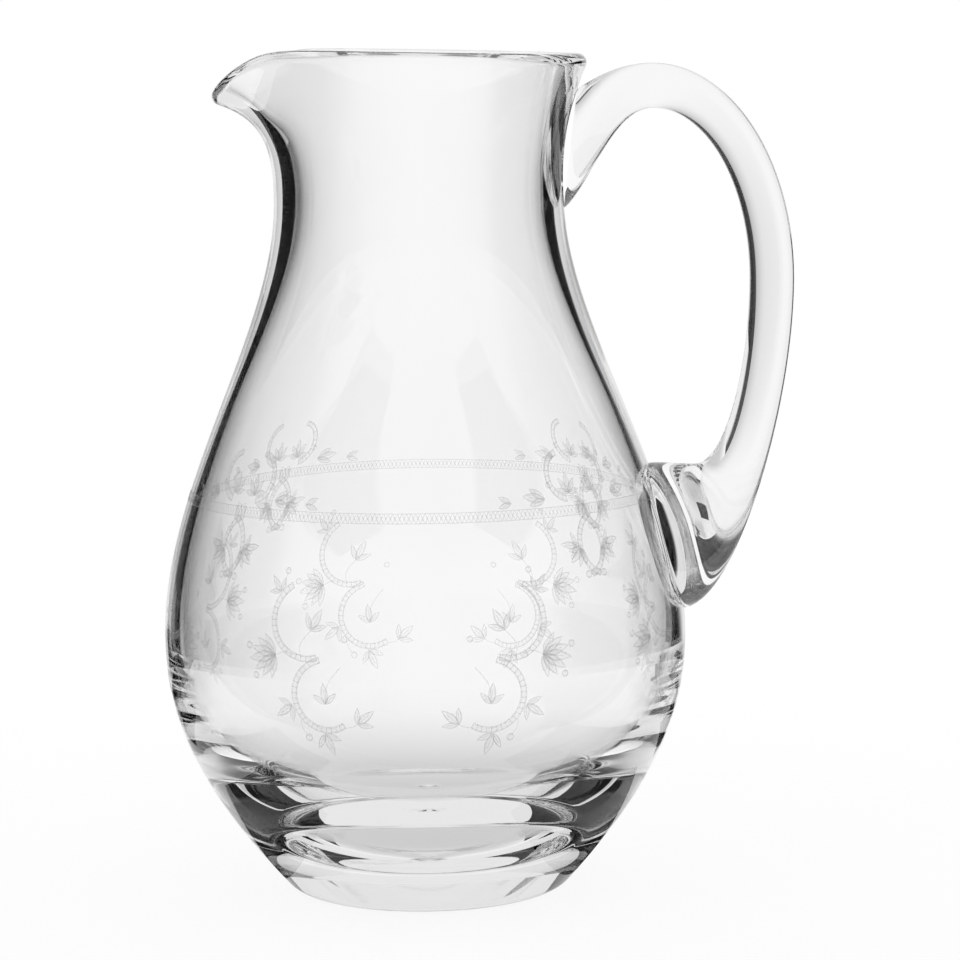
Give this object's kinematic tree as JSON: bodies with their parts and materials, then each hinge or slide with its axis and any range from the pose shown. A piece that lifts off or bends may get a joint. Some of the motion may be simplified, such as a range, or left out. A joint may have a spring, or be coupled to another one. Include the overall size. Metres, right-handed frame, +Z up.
{
  "type": "handled glass jug",
  "caption": "Clear blown-glass pouring jug with a heavy bowl-shaped foot, pear-shaped belly, flared rim, pulled spout and an applied solid glass handle.",
  "frame": {"origin": "centre of the flat foot, on the surface that the jug stands on", "axes": "+Z up along the body's axis, +X towards the handle, -X towards the spout"},
  "size_m": [0.1744, 0.144, 0.2322],
  "materials": {
    "body_glass": "clear, fire polished",
    "handle_glass": "clear, fire polished",
    "engraving": "fine matt engraved lines on the outside of the body"
  },
  "bodies": {
    "root": {"blown_body": "body_glass", "applied_handle": "handle_glass"}
  },
  "joints": []
}
